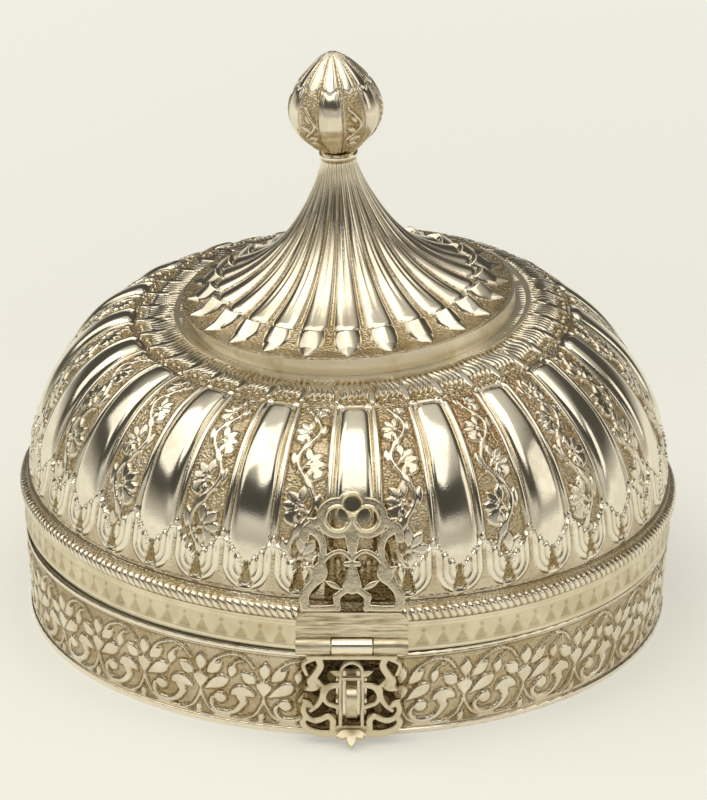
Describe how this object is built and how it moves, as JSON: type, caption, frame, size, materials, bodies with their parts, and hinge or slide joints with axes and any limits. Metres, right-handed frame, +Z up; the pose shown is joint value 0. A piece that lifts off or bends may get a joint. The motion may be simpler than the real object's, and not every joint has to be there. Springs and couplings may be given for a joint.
{
  "type": "spice box",
  "caption": "Round domed silver box with a fluted spire and bud finial, hinged lid, pierced swinging hasp on a staple, and lift-out cups in a tray.",
  "frame": {"origin": "centre of the flat face the box rests on", "axes": "+Z up through the spire, -Y toward the hasp at the front, +Y toward the rear hinge, +X to the right as seen from the front"},
  "size_m": [0.2345, 0.248, 0.2031],
  "materials": {
    "chased_silver": "polished",
    "plain_silver": "polished",
    "inner_silver": "satin",
    "brass_fittings": "satin"
  },
  "bodies": {
    "base": {"base_foot_wire": "plain_silver", "base_wall": "chased_silver", "base_rim_wire": "plain_silver", "base_plate": "inner_silver", "tray_ledge": "inner_silver", "base_bezel": "inner_silver", "hasp_staple": "plain_silver", "staple_plate": "plain_silver", "rear_hinge_base_leaf": "plain_silver", "rear_hinge_base_rivets": "plain_silver", "rear_hinge_pin": "brass_fittings"},
    "lid": {"rear_hinge_lid_leaf": "plain_silver", "rear_hinge_lid_rivets": "plain_silver", "lid_band": "chased_silver", "rope_moulding": "chased_silver", "dome_shell": "chased_silver", "crown_ring": "plain_silver", "spire_collar": "plain_silver", "spire_skirt": "chased_silver", "finial_collar": "plain_silver", "finial_bud": "chased_silver", "spire_rod": "brass_fittings", "rod_washer": "brass_fittings", "rod_nut": "brass_fittings", "hasp_strap": "plain_silver", "hasp_crest": "plain_silver", "hasp_pin": "inner_silver"},
    "hasp": {"hasp_plate": "plain_silver", "hasp_tip": "plain_silver"},
    "tray": {"cup_tray": "inner_silver"},
    "cup_centre": {"spice_cup_centre": "inner_silver"},
    "cup_1": {"spice_cup_1": "inner_silver"},
    "cup_2": {"spice_cup_2": "inner_silver"},
    "cup_3": {"spice_cup_3": "inner_silver"},
    "cup_4": {"spice_cup_4": "inner_silver"},
    "cup_5": {"spice_cup_5": "inner_silver"},
    "cup_6": {"spice_cup_6": "inner_silver"}
  },
  "joints": [
    {"name": "lid_hinge", "type": "hinge", "parent": "base", "child": "lid", "pos_m": [0, 0.1192, 0.0322], "axis": [-1, 0, 0], "range_deg": [0, 105]},
    {"name": "hasp_hinge", "type": "hinge", "parent": "lid", "child": "hasp", "pos_m": [0, -0.1196, 0.0354], "axis": [-1, 0, 0], "range_deg": [0, 115]},
    {"name": "tray_lift", "type": "slide", "parent": "base", "child": "tray", "axis": [0, 0, 1], "range_m": [0, 0.015]},
    {"name": "cup_centre_lift", "type": "slide", "parent": "tray", "child": "cup_centre", "axis": [0, 0, 1], "range_m": [0, 0.034]},
    {"name": "cup_1_lift", "type": "slide", "parent": "tray", "child": "cup_1", "axis": [0, 0, 1], "range_m": [0, 0.034]},
    {"name": "cup_2_lift", "type": "slide", "parent": "tray", "child": "cup_2", "axis": [0, 0, 1], "range_m": [0, 0.034]},
    {"name": "cup_3_lift", "type": "slide", "parent": "tray", "child": "cup_3", "axis": [0, 0, 1], "range_m": [0, 0.034]},
    {"name": "cup_4_lift", "type": "slide", "parent": "tray", "child": "cup_4", "axis": [0, 0, 1], "range_m": [0, 0.034]},
    {"name": "cup_5_lift", "type": "slide", "parent": "tray", "child": "cup_5", "axis": [0, 0, 1], "range_m": [0, 0.034]},
    {"name": "cup_6_lift", "type": "slide", "parent": "tray", "child": "cup_6", "axis": [0, 0, 1], "range_m": [0, 0.034]}
  ]
}
